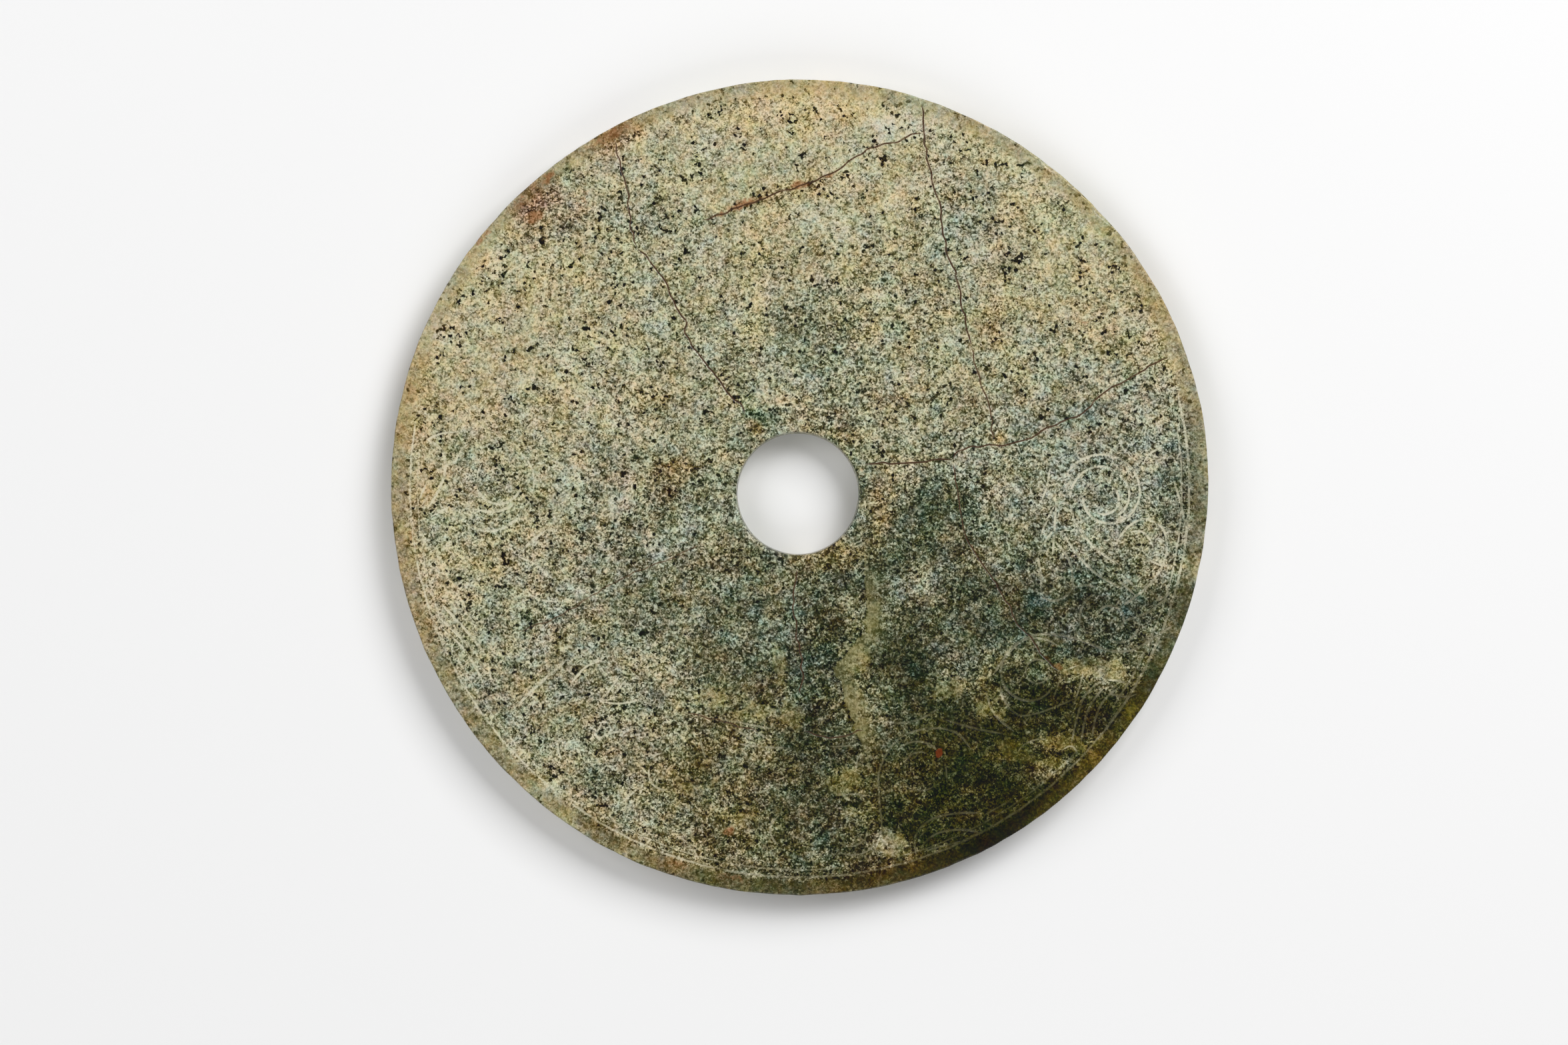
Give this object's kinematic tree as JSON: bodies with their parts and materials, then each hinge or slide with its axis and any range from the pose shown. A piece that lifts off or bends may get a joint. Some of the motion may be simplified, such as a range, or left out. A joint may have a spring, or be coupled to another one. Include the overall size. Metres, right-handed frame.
{
  "type": "jade bi disc",
  "caption": "Flat round ritual disc of mottled jade with a central hole, lightly incised with beasts inside a double border line.",
  "frame": {"origin": "centre of the disc on the plane of its underside", "axes": "+Z along the disc's axis, out of the carved face; +Y towards the top of the carved face"},
  "size_m": [0.2404, 0.2401, 0.011],
  "materials": {
    "mottled_jade": "satin"
  },
  "bodies": {
    "root": {"bi_disc": "mottled_jade"}
  },
  "joints": []
}
